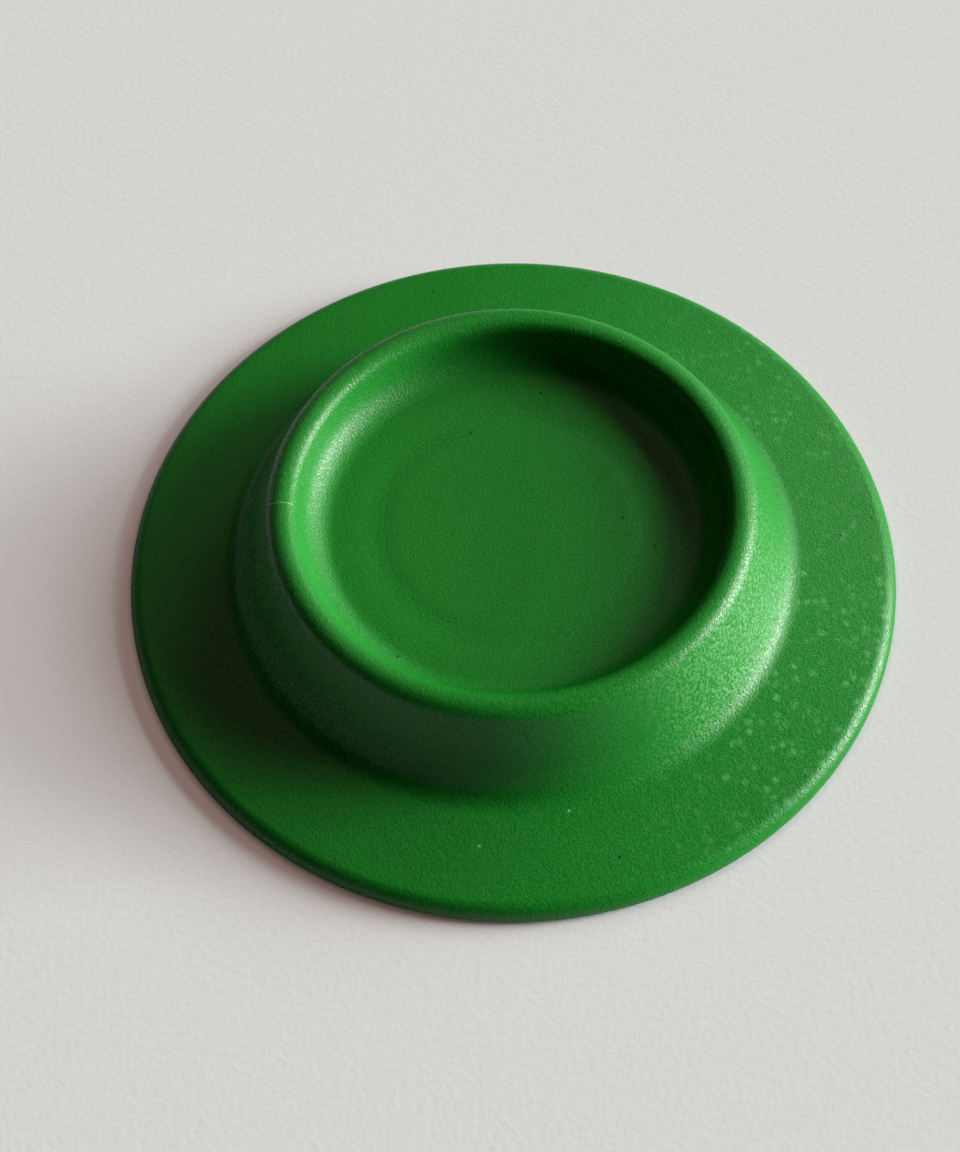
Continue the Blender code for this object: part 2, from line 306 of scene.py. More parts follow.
def new_piece(name, points, faces, smooth_below=math.radians(35.0)):
    """Makes an object at the origin; edges that turn by less than smooth_below shade smooth."""
    mesh = bpy.data.meshes.new(name)
    mesh.from_pydata(points.tolist(), [], faces)
    mesh.update()
    mesh.shade_smooth()
    mesh.set_sharp_from_angle(angle=smooth_below)
    piece = bpy.data.objects.new(name, mesh)
    bpy.context.scene.collection.objects.link(piece)
    triangles = sum(len(face) - 2 for face in faces)
    print(name, "has", triangles, "triangles")
    return piece


def turn(name, profile, steps):
    """Turns a profile about Z: x = r cos a, y = r sin a, z = height.

    A profile that starts and ends on the axis gets one point at each pole; any other profile
    is a closed ring, whose last row of points is its first one again.
    """
    angle = 2 * np.pi * np.arange(steps) / steps
    poles = profile[0, 0] < SAME_POINT
    ring = profile[1:-1] if poles else np.vstack([profile, profile[:1]])
    x = ring[:, :1] * np.cos(angle)
    y = ring[:, :1] * np.sin(angle)
    z = np.repeat(ring[:, 1:], steps, axis=1)
    points = np.stack([x, y, z], -1).reshape(-1, 3)
    faces = grid_faces(len(ring), steps)
    if not poles:
        points = points[:-steps]
        return new_piece(name, points, (faces % len(points)).tolist())
    points = np.vstack([points, [[0, 0, profile[0, 1]], [0, 0, profile[-1, 1]]]])
    return new_piece(name, points, faces.tolist() + pole_fans(len(ring), steps))


# %% [markdown]
# ## The green moulding
# The crown's wall is one thickness all the way, so its underside is a hollow ring round the
# socket that holds the magnet. The top of the crown is a broad arc between two tighter ones.
# The recess floor isn't quite flat on the real object: the plastic over the socket's wall has
# sunk by about a tenth of a millimetre, which shows as a faint ring.

# %% Sizes of the moulding
BRIM_RADIUS = 40.0 * MM
BRIM_BOTTOM = 0.3 * MM
BRIM_TOP = 2.3 * MM
BRIM_EDGE = 1.68 * MM
BRIM_FOOT = 0.3 * MM
BRIM_SLOPE = math.radians(7.0)
CORNER_EASE = 0.15 * MM
CREST_RADIUS = 23.05 * MM
CREST_TOP = 13.4 * MM
CREST_LAND = 2.0 * MM
CREST_INNER = 1.3 * MM
CREST_OUTER = 1.85 * MM
LAND_TILT = math.radians(15.0)
OUTER_SLOPE = math.radians(69.5)
SWEEP_SLOPE = math.radians(52.0)
INNER_SLOPE = math.radians(78.5)
HOLLOW_SLOPE = math.radians(80.0)
BASE_SWEEP = 9.8 * MM
BASE_FILLET = 2.75 * MM
FLOOR_FILLET = 3.1 * MM
FLOOR_TOP = 8.6 * MM
CEILING = 7.0 * MM
HOLLOW_TOP = 10.4 * MM
CROWN_WALL = 1.4 * MM
PAD_REBATE = 30.3 * MM
COVER_REBATE = 26.8 * MM
COVER_BOTTOM = 1.35 * MM
COVER_SEAT = 2.6 * MM
SOCKET_INNER = 12.8 * MM
SOCKET_OUTER = 14.25 * MM
UP = math.pi / 2

# %% [markdown]
# ### The crown's top
# The crest catches the brightest line of light, so its roundness matters most. A single bevel
# would give one radius; three arcs in a row give the broad, slightly lopsided top of the photo.


# %% Crest
def crest_profile():
    """The crown's top: inner edge arc, land arc and outer edge arc, each tangent to the next.

    Where one arc turns into the next, both centres lie on the same line through that point, so
    an edge arc's centre is the land's centre moved along that line by the radii's difference.
    """
    middle = np.array([CREST_RADIUS, CREST_TOP - CREST_LAND])
    across, upwards = math.sin(LAND_TILT), math.cos(LAND_TILT)
    inner_centre = middle + (CREST_LAND - CREST_INNER) * np.array([-across, upwards])
    outer_centre = middle + (CREST_LAND - CREST_OUTER) * np.array([across, upwards])
    inner = arc(inner_centre, CREST_INNER, UP + INNER_SLOPE, UP + LAND_TILT, count=18)
    land = arc(middle, CREST_LAND, UP + LAND_TILT, UP - LAND_TILT, count=10)
    outer = arc(outer_centre, CREST_OUTER, UP - LAND_TILT, UP - OUTER_SLOPE, count=18)
    return joined(inner, land, outer)


# %% [markdown]
# ### The recess floor
# The faint ring in the floor is too shallow to model by hand, yet low light shows it. What the
# light shows is slope, so the ring is written as slopes and summed into heights.

# %% Recess floor
SINK_SLOPES = (
    {"steep": -0.068, "middle": 12.7 * MM, "width": 0.85 * MM},
    {"steep": 0.046, "middle": 15.1 * MM, "width": 0.80 * MM},
    {"steep": -0.028, "middle": 17.5 * MM, "width": 0.70 * MM},
)
SINK_REACH = 20.0 * MM
SINK_FADE = 0.5 * MM
FLAT_MIDDLE = 10.0 * MM


def floor_sink(radius):
    """Height of the faint ring: three slopes, down, up and down again, summed outwards.

    Each slope is steep * exp(-((r - middle) / width)^2).
    """
    steps = np.linspace(0.0, SINK_REACH, 800)
    slope = sum(bell["steep"] * np.exp(-(((steps - bell["middle"]) / bell["width"]) ** 2))
                for bell in SINK_SLOPES)
    height = np.cumsum(slope) * (steps[1] - steps[0])
    return np.interp(radius, steps, height)


def floor_profile(wall_end):
    """The recess floor with its sink ring, and the fillet that meets the inner wall's end.

    The fillet is tangent to the floor and to the wall, so its end lies radius * (1 - cos slope)
    above the floor. The ring's height fades out within a short way up the fillet.
    """
    rise = FLOOR_FILLET * (1.0 - math.cos(INNER_SLOPE))
    fillet_end = wall_end[0] - (wall_end[1] - FLOOR_TOP - rise) / math.tan(INNER_SLOPE)
    centre = (fillet_end - FLOOR_FILLET * math.sin(INNER_SLOPE), FLOOR_TOP + FLOOR_FILLET)
    flat = joined(run((0.0, FLOOR_TOP), (FLAT_MIDDLE, FLOOR_TOP), count=10),
                  run((FLAT_MIDDLE, FLOOR_TOP), (centre[0], FLOOR_TOP), count=36))
    bend = arc(centre, FLOOR_FILLET, -UP, INNER_SLOPE - UP, count=18)
    points = joined(flat, bend)
    fade = np.clip(1.0 - (points[:, 1] - FLOOR_TOP) / SINK_FADE, 0.0, 1.0)
    points[:, 1] += floor_sink(points[:, 0]) * fade
    return points


# %% [markdown]
# ### Outer wall, brim and rim
# On the real moulding the wall runs into the brim in one sweep that tightens at its foot. The
# brim falls outwards by 7 degrees and ends in a well-rounded rim. The rim is rounder here than
# in the solid, 1.68 mm instead of 1.3 mm, because its highlight is broad in the photograph.
# Fillets by hand would have to be redone for each change of size, so the arcs are solved for.


# %% Outer wall and brim
def slope_normal(slope):
    """Direction (sin, cos) of a slope: square to a surface that falls outwards at that slope."""
    return np.array([math.sin(slope), math.cos(slope)])


def base_profile(wall_start):
    """The outer wall, the curve at its foot, and the brim that falls away to its rim.

    The curve is a wide sweep that turns into a tighter fillet. The fillet's centre lies one
    fillet radius above the brim's line; the sweep's centre lies one sweep radius outside the
    wall's line, and further than the fillet's along the normal they share. Those are two
    equations n . c = distance for the fillet's centre c.
    """
    edge_centre = np.array([BRIM_RADIUS - BRIM_EDGE, BRIM_TOP - BRIM_EDGE])
    wall_normal, shared, brim_normal = map(slope_normal, (OUTER_SLOPE, SWEEP_SLOPE, BRIM_SLOPE))
    shift = BASE_SWEEP - BASE_FILLET
    distances = np.array(
        [
            wall_normal @ wall_start + BASE_SWEEP - shift * (wall_normal @ shared),
            brim_normal @ edge_centre + BRIM_EDGE + BASE_FILLET,
        ]
    )
    centre = np.linalg.solve(np.array([wall_normal, brim_normal]), distances)
    sweep_centre = centre + shift * shared
    sweep = arc(sweep_centre, BASE_SWEEP, -UP - OUTER_SLOPE, -UP - SWEEP_SLOPE, count=12)
    bend = arc(centre, BASE_FILLET, -UP - SWEEP_SLOPE, -UP - BRIM_SLOPE, count=18)
    wall = run(wall_start, sweep[0], count=6)
    edge = arc(edge_centre, BRIM_EDGE, UP - BRIM_SLOPE, 0.0, count=16)
    brim = run(bend[-1], edge[0], count=12)
    foot_centre = (BRIM_RADIUS - BRIM_FOOT, BRIM_BOTTOM + BRIM_FOOT)
    foot = arc(foot_centre, BRIM_FOOT, 0.0, -UP, count=6)
    return joined(wall, sweep, bend, brim, edge, foot)


# %% [markdown]
# ### The underside
# Nobody sees the back while the holder hangs, so it only follows what such holders need: steps
# for the pad and the cover, a hollow that keeps the crown's wall even, and the magnet's socket.


# %% Back and whole section
def back_profile(wall_end, wall_start):
    """The underside: pad and cover rebates, crown hollow and magnet socket, corners eased.

    A sloping wall is thickness / sin(slope) across, so the hollow's sides are the crown's sides
    shifted by that much.
    """
    outer_wall = CROWN_WALL / math.sin(OUTER_SLOPE)
    inner_wall = CROWN_WALL / math.sin(INNER_SLOPE)

    def outside(height):
        return wall_start[0] + (wall_start[1] - height) / math.tan(HOLLOW_SLOPE) - outer_wall

    def inside(height):
        return wall_end[0] - (wall_end[1] - height) / math.tan(INNER_SLOPE) + inner_wall

    corners = [
        (BRIM_RADIUS - BRIM_FOOT, BRIM_BOTTOM),
        (PAD_REBATE, BRIM_BOTTOM),
        (PAD_REBATE, COVER_BOTTOM),
        (COVER_REBATE, COVER_BOTTOM),
        (COVER_REBATE, COVER_SEAT),
        (outside(COVER_SEAT), COVER_SEAT),
        (outside(HOLLOW_TOP), HOLLOW_TOP),
        (inside(HOLLOW_TOP), HOLLOW_TOP),
        (inside(CEILING), CEILING),
        (SOCKET_OUTER, CEILING),
        (SOCKET_OUTER, COVER_SEAT),
        (SOCKET_INNER, COVER_SEAT),
        (SOCKET_INNER, CEILING),
        (0.0, CEILING),
    ]
    return eased(corners, CORNER_EASE)


def moulding_profile():
    """The whole section, from the middle of the recess out over the crown and back underneath."""
    crest = crest_profile()
    return joined(
        floor_profile(crest[0]), crest, base_profile(crest[-1]), back_profile(crest[0], crest[-1])
    )


moulding = turn("moulding", moulding_profile(), steps=384)

# %% [markdown]
# ## Ribs in the crown's hollow
# Eight thin ribs join the socket to the crown's outer wall behind the cover. Each one is a flat
# box, and one array of box corners, turned to eight angles, holds them all.

# %% Ribs
RIB_COUNT = 8
RIB_THICK = 1.0 * MM
RIB_NEAR = 17.15 * MM
RIB_FAR = 25.1 * MM
RIB_TOP = 7.2 * MM


def make_ribs():
    """The corners (near or far, left or right, low or high) of a box, turned to each angle.

    A turn by a gives x cos a - y sin a and x sin a + y cos a.
    """
    corner = np.array([[x, y, z] for x in (0, 1) for y in (-0.5, 0.5) for z in (0, 1)], float)
    box = np.column_stack(
        [
            RIB_NEAR + corner[:, 0] * (RIB_FAR - RIB_NEAR),
            corner[:, 1] * RIB_THICK,
            COVER_SEAT + corner[:, 2] * (RIB_TOP - COVER_SEAT),
        ]
    )
    angle = 2 * np.pi * (np.arange(RIB_COUNT) + 0.5) / RIB_COUNT
    cos, sin = np.cos(angle)[:, None], np.sin(angle)[:, None]
    x = box[:, 0] * cos - box[:, 1] * sin
    y = box[:, 0] * sin + box[:, 1] * cos
    z = np.repeat(box[None, :, 2], RIB_COUNT, axis=0)
    points = np.stack([x, y, z], -1).reshape(-1, 3)
    near, far = [0, 1, 3, 2], [4, 6, 7, 5]
    left, right = [0, 4, 5, 1], [2, 3, 7, 6]
    low_side, high_side = [0, 2, 6, 4], [1, 5, 7, 3]
    sides = np.array([near, far, left, right, low_side, high_side])
    faces = (sides[None] + len(corner) * np.arange(RIB_COUNT)[:, None, None]).reshape(-1, 4)
    return new_piece("crown_ribs", points, faces.tolist())


crown_ribs = make_ribs()

# %% [markdown]
# ## The stack behind the recess
# Magnet, steel plate, seal, cover and foam pad are discs and rings. Plain cylinders with a Bevel
# would come close, but a short profile gives each its real edge: the magnet's tumbled edge is
# rounder than the punched plate's, and the foam pad bulges a little where the die has cut it.

# %% Magnet, plate and seal
MAGNET_RADIUS = 12.5 * MM
MAGNET_BOTTOM = 3.75 * MM
MAGNET_TOP = 6.75 * MM
MAGNET_EASE = 0.3 * MM
PLATE_TOP = 3.5 * MM
PLATE_EASE = 0.12 * MM
SEAL_CENTRE = 15.05 * MM
SEAL_CORD = 1.2 * MM
SMALL_RING = 0.5 * MM


def disc_profile(radius, bottom, top, ease):
    """A disc's section: two flat faces, from a small ring outwards, and an eased edge."""
    middle = radius / 2
    corners = [(middle, top), (radius, top), (radius, bottom), (middle, bottom)]
    rim = eased(corners, ease, count=9)
    upper = run((SMALL_RING, top), (middle, top), count=6)
    lower = run((middle, bottom), (SMALL_RING, bottom), count=6)
    return joined([(0.0, top)], upper, rim, lower, [(0.0, bottom)])


def seal_profile():
    """The seal's round cord: one full circle, without the last point, which is the first."""
    centre = (SEAL_CENTRE, COVER_SEAT + SEAL_CORD / 2)
    return arc(centre, SEAL_CORD / 2, UP, UP - 2 * math.pi, count=33)[:-1]


magnet_section = disc_profile(MAGNET_RADIUS, MAGNET_BOTTOM, MAGNET_TOP, MAGNET_EASE)
magnet = turn("magnet_disc", magnet_section, steps=192)
plate_section = disc_profile(MAGNET_RADIUS, COVER_SEAT, PLATE_TOP, PLATE_EASE)
plate = turn("backing_disc", plate_section, steps=192)
seal = turn("seal", seal_profile(), steps=192)

# %% [markdown]
# ### Cover and foam pad
# The cover closes the hollow and its collar holds the seal. The foam pad is what sticks to the
# wall; die-cut foam springs back after the cut, so its edge is never a straight line.

# %% Cover and pad
COVER_RADIUS = 26.5 * MM
COVER_TOP = 2.35 * MM
COVER_EASE = 0.2 * MM
COLLAR_INNER = 15.85 * MM
COLLAR_OUTER = 16.85 * MM
COLLAR_TOP = 4.1 * MM
PAD_RADIUS = 30.0 * MM
PAD_BOTTOM = 0.4 * MM
PAD_TOP = 1.1 * MM
PAD_BULGE = 0.08 * MM
PAD_BORDER = 1.0 * MM


def cover_profile():
    """The cover's section: a disc with the collar standing on it, corners eased."""
    middle = COLLAR_INNER / 2
    corners = [
        (middle, COVER_TOP),
        (COLLAR_INNER, COVER_TOP),
        (COLLAR_INNER, COLLAR_TOP),
        (COLLAR_OUTER, COLLAR_TOP),
        (COLLAR_OUTER, COVER_TOP),
        (COVER_RADIUS, COVER_TOP),
        (COVER_RADIUS, COVER_BOTTOM),
        (middle, COVER_BOTTOM),
    ]
    rim = eased(corners, COVER_EASE, count=7)
    return joined([(0.0, COVER_TOP)], rim, [(0.0, COVER_BOTTOM)])


def pad_profile():
    """The foam pad: flat faces and a cut edge that stands out by a sine arch at mid height."""
    share = np.linspace(0.0, 1.0, 13)
    radius = PAD_RADIUS - PAD_BULGE + PAD_BULGE * np.sin(np.pi * share)
    edge = np.column_stack([radius, PAD_TOP + (PAD_BOTTOM - PAD_TOP) * share])
    flat_end = PAD_RADIUS - PAD_BORDER
    upper = run((PAD_BORDER, PAD_TOP), (flat_end, PAD_TOP), count=8)
    lower = run((flat_end, PAD_BOTTOM), (PAD_BORDER, PAD_BOTTOM), count=8)
    return joined([(0.0, PAD_TOP)], upper, edge, lower, [(0.0, PAD_BOTTOM)])


cover = turn("cover", cover_profile(), steps=256)
pad = turn("foam_pad", pad_profile(), steps=256)

# %% [markdown]
# ## The release liner
# A thin film covers the pad until it goes on the wall, and its round tab reaches out under the
# brim to be pulled. In plan it is a large circle with a small one across its edge. A boolean of
# two cylinders would give that with long thin faces. Here the outline is one distance for each
# angle, taken at two heights and filled by rings that shrink to the middle.

# %% Release liner
LINER_THICK = 0.15 * MM
LINER_RINGS = np.array([0.05, 0.35, 0.7, 0.93, 0.998, 1.0])
TAB_HALF = 6.0 * MM
TAB_REACH = 35.0 * MM


def liner_outline(count=480):
    """Distance to the liner's edge at each angle: the larger of the disc's and the tab's.

    The tab is a small circle of radius h about a centre on the x axis, e from the middle. A ray
    at the angle a leaves it at the distance e cos a + sqrt(h^2 - (e sin a)^2).
    """
    angle = np.linspace(-np.pi, np.pi, count, endpoint=False)
    end_centre = TAB_REACH - TAB_HALF
    along = end_centre * np.cos(angle)
    inside = TAB_HALF**2 - (end_centre * np.sin(angle)) ** 2
    reach = np.where(inside > 0, along + np.sqrt(np.maximum(inside, 0.0)), 0.0)
    edge = np.maximum(PAD_RADIUS, np.where(np.cos(angle) > 0, reach, 0.0))
    return np.column_stack([edge * np.cos(angle), edge * np.sin(angle)])


def make_liner():
    """Rings of the outline times 0.05 to 1, above and then below, joined at the edge."""
    outline = liner_outline()
    steps = len(outline)
    upper = [np.column_stack([outline * s, np.full(steps, LINER_THICK)]) for s in LINER_RINGS]
    lower = [np.column_stack([outline * s, np.zeros(steps)]) for s in LINER_RINGS[::-1]]
    points = np.vstack(upper + lower + [[[0.0, 0.0, LINER_THICK], [0.0, 0.0, 0.0]]])
    rows = 2 * len(LINER_RINGS)
    return new_piece("liner", points, grid_faces(rows, steps).tolist() + pole_fans(rows, steps))


liner = make_liner()

# %% [markdown]
# ## The floor
# The holder lies on a sheet of smooth pale paper. A wide disc stands for it, with a very faint
# tooth, and keeps the holder's shadow.

# %% Floor
FLOOR_RINGS = (0.1, 0.3, 0.8, 1.6)
FLOOR_STEPS = 96


def make_floor():
    """A disc: rings of radius * (cos, sin) about the origin, and a fan of triangles inside."""
    angle = 2 * np.pi * np.arange(FLOOR_STEPS) / FLOOR_STEPS
    circle = np.column_stack([np.cos(angle), np.sin(angle), np.zeros(FLOOR_STEPS)])
    points = np.vstack([circle * radius for radius in FLOOR_RINGS] + [[[0.0, 0.0, 0.0]]])
    here = np.arange(FLOOR_STEPS)
    middle = np.full(FLOOR_STEPS, len(points) - 1)
    fan = np.stack([middle, here, (here + 1) % FLOOR_STEPS], -1)
    faces = grid_faces(len(FLOOR_RINGS), FLOOR_STEPS)
    return new_piece("paper_floor", points, faces.tolist() + fan.tolist())


floor = make_floor()

# %% [markdown]
# ## Finishes
# Every finish is a Principled shader whose colour, gloss and fine relief come from noise read at
# the piece's own coordinates, so a grain keeps its real size in millimetres. A grain of 0.25 mm
# is a noise whose scale is one divided by 0.00025.


# %% Helpers for the finishes
def new_finish(name):
    """A material with a bare Principled shader. Returns material, tree, shader and coordinates."""
    material = bpy.data.materials.new(name)
    material.use_nodes = True
    tree = material.node_tree
    shader = tree.nodes["Principled BSDF"]
    place = add_node(tree, "ShaderNodeTexCoord").outputs["Object"]
    return material, tree, shader, place


def grain(tree, place, size, detail=2.0, roughness=0.5):
    """Noise whose spots are about the given size in metres: its scale is 1 / size."""
    values = {"Vector": place, "Scale": 1.0 / size, "Detail": detail, "Roughness": roughness}
    return add_node(tree, "ShaderNodeTexNoise", values).outputs["Fac"]


def blend(tree, share, first, second):
    """Mixes two colours: first * (1 - share) + second * share."""
    node = add_node(tree, "ShaderNodeMix", data_type="RGBA")
    for index, value in ((0, share), (6, first), (7, second)):
        if isinstance(value, bpy.types.NodeSocket):
            tree.links.new(value, node.inputs[index])
        else:
            node.inputs[index].default_value = value if index == 0 else (*value, 1.0)
    return node.outputs[2]


def clouded(tree, share, low, high, first, second):
    """Runs from the first colour, where the share is low, to the second, where it is high."""
    return blend(tree, spread(tree, share, low, high), first, second)


def relief(tree, height, depth, normal=None):
    """Turns a 0..1 height into surface relief of the given depth in metres."""
    values = {"Height": height, "Distance": depth, "Strength": 1.0}
    if normal is not None:
        values["Normal"] = normal
    return add_node(tree, "ShaderNodeBump", values).outputs["Normal"]


def dress(tree, shader, **sockets):
    """Links outputs to the shader's sockets; Base_Color stands for the socket Base Color."""
    for name, output in sockets.items():
        tree.links.new(output, shader.inputs[name.replace("_", " ")])


# %% [markdown]
# ### Spark-eroded green plastic
# The mould was spark-eroded, which leaves a fine even grain that breaks every highlight into
# sparkle: the relief tips the surface a little, and the gloss changes from grain to grain. Use
# has left paler scuffs on the crown's outer wall and a scatter of small pale dots on the brim.
# The pale speckle on the wall's lit side is partly these scuffs and partly a painted highlight,
# and the pale speckle inside the crown on the left is a painted highlight. A few dark specks are
# moulded in, and a thin knit line runs over the crown where two streams of plastic met in the
# mould; its paler colour on the crest is a painted glint. The darker green on the grain is
# painted shade. Each kind of mark is a share from 0 to 1 that says where the plastic takes the
# mark's colour, so all of it follows from noise, radius and direction.

# %% Where the specks lie, in millimetres seen from above
SPECKS = ((3.7, 16.4), (-7.6, 35.2), (-3.9, 11.5), (14.4, -3.1), (11.3, 0.4), (34.3, 1.0),
          (37.9, 3.3), (-11.8, -14.9), (9.1, -34.5))
DUST = ((-4.4, -33.0), (4.4, -29.8), (13.4, 26.5))
SPECK_SIZE = 0.20 * MM
DUST_SIZE = 0.22 * MM
SPECK_CORE = 0.4


def in_plan(tree, place):
    """The coordinates (x, y, z) with their height taken away: (x, y, 0)."""
    return vector_maths(tree, "MULTIPLY", place, (1.0, 1.0, 0.0))


def specks(tree, plan, spots, size):
    """1 in the core of each spot, falling to 0 at its size: the largest share of all spots."""
    share = 0.0
    for x, y in spots:
        away = vector_maths(tree, "DISTANCE", plan, (x * MM, y * MM, 0.0), output="Value")
        spot = spread(tree, away, size * SPECK_CORE, size, 1.0, 0.0)
        share = maths(tree, "MAXIMUM", share, spot)
    return share


# %% Zones by direction and radius
def facing(tree, plan, azimuth, full, none):
    """1 within the angle full of an azimuth and 0 beyond the angle none, by the cosine.

    Angles are in degrees, and the azimuth runs from the photo's right towards its far side.
    """
    around = math.radians(azimuth)
    outward = vector_maths(tree, "NORMALIZE", plan)
    middle = (math.cos(around), math.sin(around), 0.0)
    cosine = vector_maths(tree, "DOT_PRODUCT", outward, middle, output="Value")
    return spread(tree, cosine, math.cos(math.radians(none)), math.cos(math.radians(full)))


def between(tree, plan, inner, outer, soft):
    """1 where the radius, in millimetres, is inner to outer, fading over the soft width."""
    radius = maths(tree, "DIVIDE", vector_maths(tree, "LENGTH", plan, output="Value"), MM)
    beyond = spread(tree, radius, inner - soft, inner)
    within = spread(tree, radius, outer, outer + soft, 1.0, 0.0)
    return maths(tree, "MULTIPLY", beyond, within)


# %% [markdown]
# ### Scuffs and painted highlight speckle
# A soap's steel cap and wet hands rub the crown. A scuff isn't a line here but a fine speckle,
# because only the tops of the grain are rubbed pale. The speckle lies where the highlights fall:
# on the outer wall it is partly wear and partly a painted highlight, inside the crown it is a
# painted highlight. A painted mask would tie it to one picture; noise cut at a threshold gives
# the same ragged spots at any distance.


# %% Scuffs and painted highlight speckle
def speckle(tree, place, size, low, high):
    """Ragged spots of a fine noise: 0 below low, 1 above high."""
    return spread(tree, grain(tree, place, size, detail=3.0, roughness=0.68), low, high)


def scuffed_and_highlit_wall(tree, place, plan):
    """Fine pale speckle on the wall's lit side, part wear, part painted highlight: (0.62 near right
    + 0.12 right) * wall * spots.
    """
    # Partly wear, partly painted highlight: the speckle keeps to the wall's lit side.
    near_right = facing(tree, plan, azimuth=-30.0, full=6.0, none=34.0)
    right = facing(tree, plan, azimuth=-12.0, full=20.0, none=70.0)
    thick = maths(tree, "MULTIPLY", near_right, 0.62)
    thin = maths(tree, "MULTIPLY", right, 0.12)
    wall = between(tree, plan, inner=24.4, outer=28.2, soft=1.0)
    where = maths(tree, "MULTIPLY", maths(tree, "ADD", thick, thin), wall)
    spots = speckle(tree, place, 0.36 * MM, low=0.46, high=0.60)
    return maths(tree, "MULTIPLY", where, spots)


def painted_crown_highlight(tree, place, plan):
    """Painted highlight: fainter, finer pale speckle inside the crown, 0.20 * spots, on the left
    and far left.
    """
    # Painted highlight: pale speckle where the light glints on the crest's inner edge and the
    # fillet.
    left = facing(tree, plan, azimuth=165.0, full=45.0, none=85.0)
    inside = between(tree, plan, inner=18.8, outer=24.0, soft=0.6)
    where = maths(tree, "MULTIPLY", left, inside)
    spots = speckle(tree, place, 0.26 * MM, low=0.50, high=0.60)
    return maths(tree, "MULTIPLY", where, maths(tree, "MULTIPLY", spots, 0.20))


# %% [markdown]
# ### Dots on the brim
# The brim's right side has small pale dots, most likely dried spots of soapy water. They lie in
# loose clusters and no two are alike. A Voronoi gives one dot to each cell, which keeps them
# apart, and noise makes their edges ragged and thins them out.

# %% Dots
DOT_SPACING = 1.0 * MM
DOT_CORE = 0.40
DOT_EDGE = 0.82
RAGGED_SIZE = 0.30 * MM
RAGGED_SHARE = 0.60
CLUSTER_SIZE = 3.0 * MM
CHANCE_BARE = 0.38
CHANCE_PALEST = 1.30
FAR_DOTS = 0.55
RIM_SIDE = 1.0 * MM
RIM_TOP = 1.4 * MM


def dot_zone(tree, plan):
    """Two stretches of the brim: full on the near right, and fainter on the far right."""
    near_right = facing(tree, plan, azimuth=-30.0, full=14.0, none=42.0)
    far_right = facing(tree, plan, azimuth=34.0, full=6.0, none=34.0)
    sides = maths(tree, "MAXIMUM", maths(tree, "MULTIPLY", far_right, FAR_DOTS), near_right)
    return maths(tree, "MULTIPLY", sides, between(tree, plan, inner=30.0, outer=39.2, soft=0.5))


def brim_dots(tree, place, plan):
    """Ragged pale dots on the brim's near right and far right, gathered in loose clusters.

    A dot's share falls with the distance from its cell's point, to which a fine noise is added.
    The cell's own random number plus a slow noise says how pale it is and whether it shows. The
    rim's side, which no drop rests on, stays clean.
    """
    cells = add_node(tree, "ShaderNodeTexVoronoi", {"Vector": plan, "Scale": 1 / DOT_SPACING})
    chance = add_node(tree, "ShaderNodeSeparateColor", {0: cells.outputs["Color"]}).outputs["Red"]
    crowd = spread(tree, grain(tree, plan, CLUSTER_SIZE), 0.38, 0.62, -0.10, 0.40)
    kept = spread(tree, maths(tree, "ADD", chance, crowd), CHANCE_BARE, CHANCE_PALEST)
    ragged = maths(tree, "MULTIPLY", grain(tree, place, RAGGED_SIZE, detail=3.0), RAGGED_SHARE)
    distance = maths(tree, "ADD", cells.outputs["Distance"], ragged)
    dot = maths(tree, "MULTIPLY", spread(tree, distance, DOT_CORE, DOT_EDGE, 1.0, 0.0), kept)
    height = add_node(tree, "ShaderNodeSeparateXYZ", {0: place}).outputs["Z"]
    upper_side = spread(tree, height, RIM_SIDE, RIM_TOP)
    on_top = maths(tree, "MULTIPLY", dot, upper_side)
    return maths(tree, "MULTIPLY", dot_zone(tree, plan), on_top)


# %% [markdown]
# ### Knit line
# The two streams of plastic met at the left of the crown. The line is only 0.1 mm wide, far too
# thin for the mesh, so it is a little relief and, on the crest, a paler colour, which is a
# painted glint where the light catches the line.

# %% Knit line
KNIT_LEAN = 0.0236
KNIT_CORE = 0.04 * MM
KNIT_EDGE = 0.13 * MM
KNIT_START = -21.2 * MM
KNIT_FULL = -21.8 * MM


def knit_line(tree, place):
    """1 on a thin radial line at the left: |y + 0.0236 x| small, and x beyond the recess."""
    axes = add_node(tree, "ShaderNodeSeparateXYZ", {0: place}).outputs
    off = maths(tree, "MULTIPLY_ADD", axes["X"], KNIT_LEAN, axes["Y"])
    line = spread(tree, maths(tree, "ABSOLUTE", off), KNIT_CORE, KNIT_EDGE, 1.0, 0.0)
    left = spread(tree, axes["X"], KNIT_FULL, KNIT_START, 1.0, 0.0)
    return maths(tree, "MULTIPLY", line, left)


# %% [markdown]
# ### The plastic itself
# The green drifts a little over a centimetre or two, because the pigment isn't mixed quite
# evenly. The grain is noise of a quarter of a millimetre, used twice: as relief, and as a darker
# green on the same grains, which is painted shade for the light that gets lost between them. A
# second noise sets the gloss, so that bright and dull spots don't fall on the same places as the
# relief.

# %% Green plastic
GREEN = (0.0075, 0.208, 0.0160)
GREEN_DRIFTED = (0.0090, 0.224, 0.0180)
# Painted shade: the darker green on the grains stands for light that the rough surface loses.
GREEN_GRAIN_SHADE = (0.0040, 0.122, 0.0090)
GREEN_SPECULAR = 0.33
# Pale green for wear scuffs and for the painted highlights and glint alike.
SCUFF_AND_GLINT_GREEN = (0.150, 0.400, 0.150)
DOT_GREEN = (0.100, 0.380, 0.110)
SPECK_DARK = (0.002, 0.020, 0.003)
DUST_PALE = (0.200, 0.420, 0.200)
DRIFT_SIZE = 14 * MM
GRAIN_SIZE = 0.26 * MM
GRAIN_DEPTH = 0.066 * MM
GLOSS_SIZE = 0.22 * MM
UNEVEN_SIZE = 0.8 * MM
UNEVEN_DEPTH = 0.022 * MM
KNIT_DEPTH = 0.016 * MM
# Share of the knit line's painted glint on the crest.
KNIT_GLINT_SHARE = 0.6


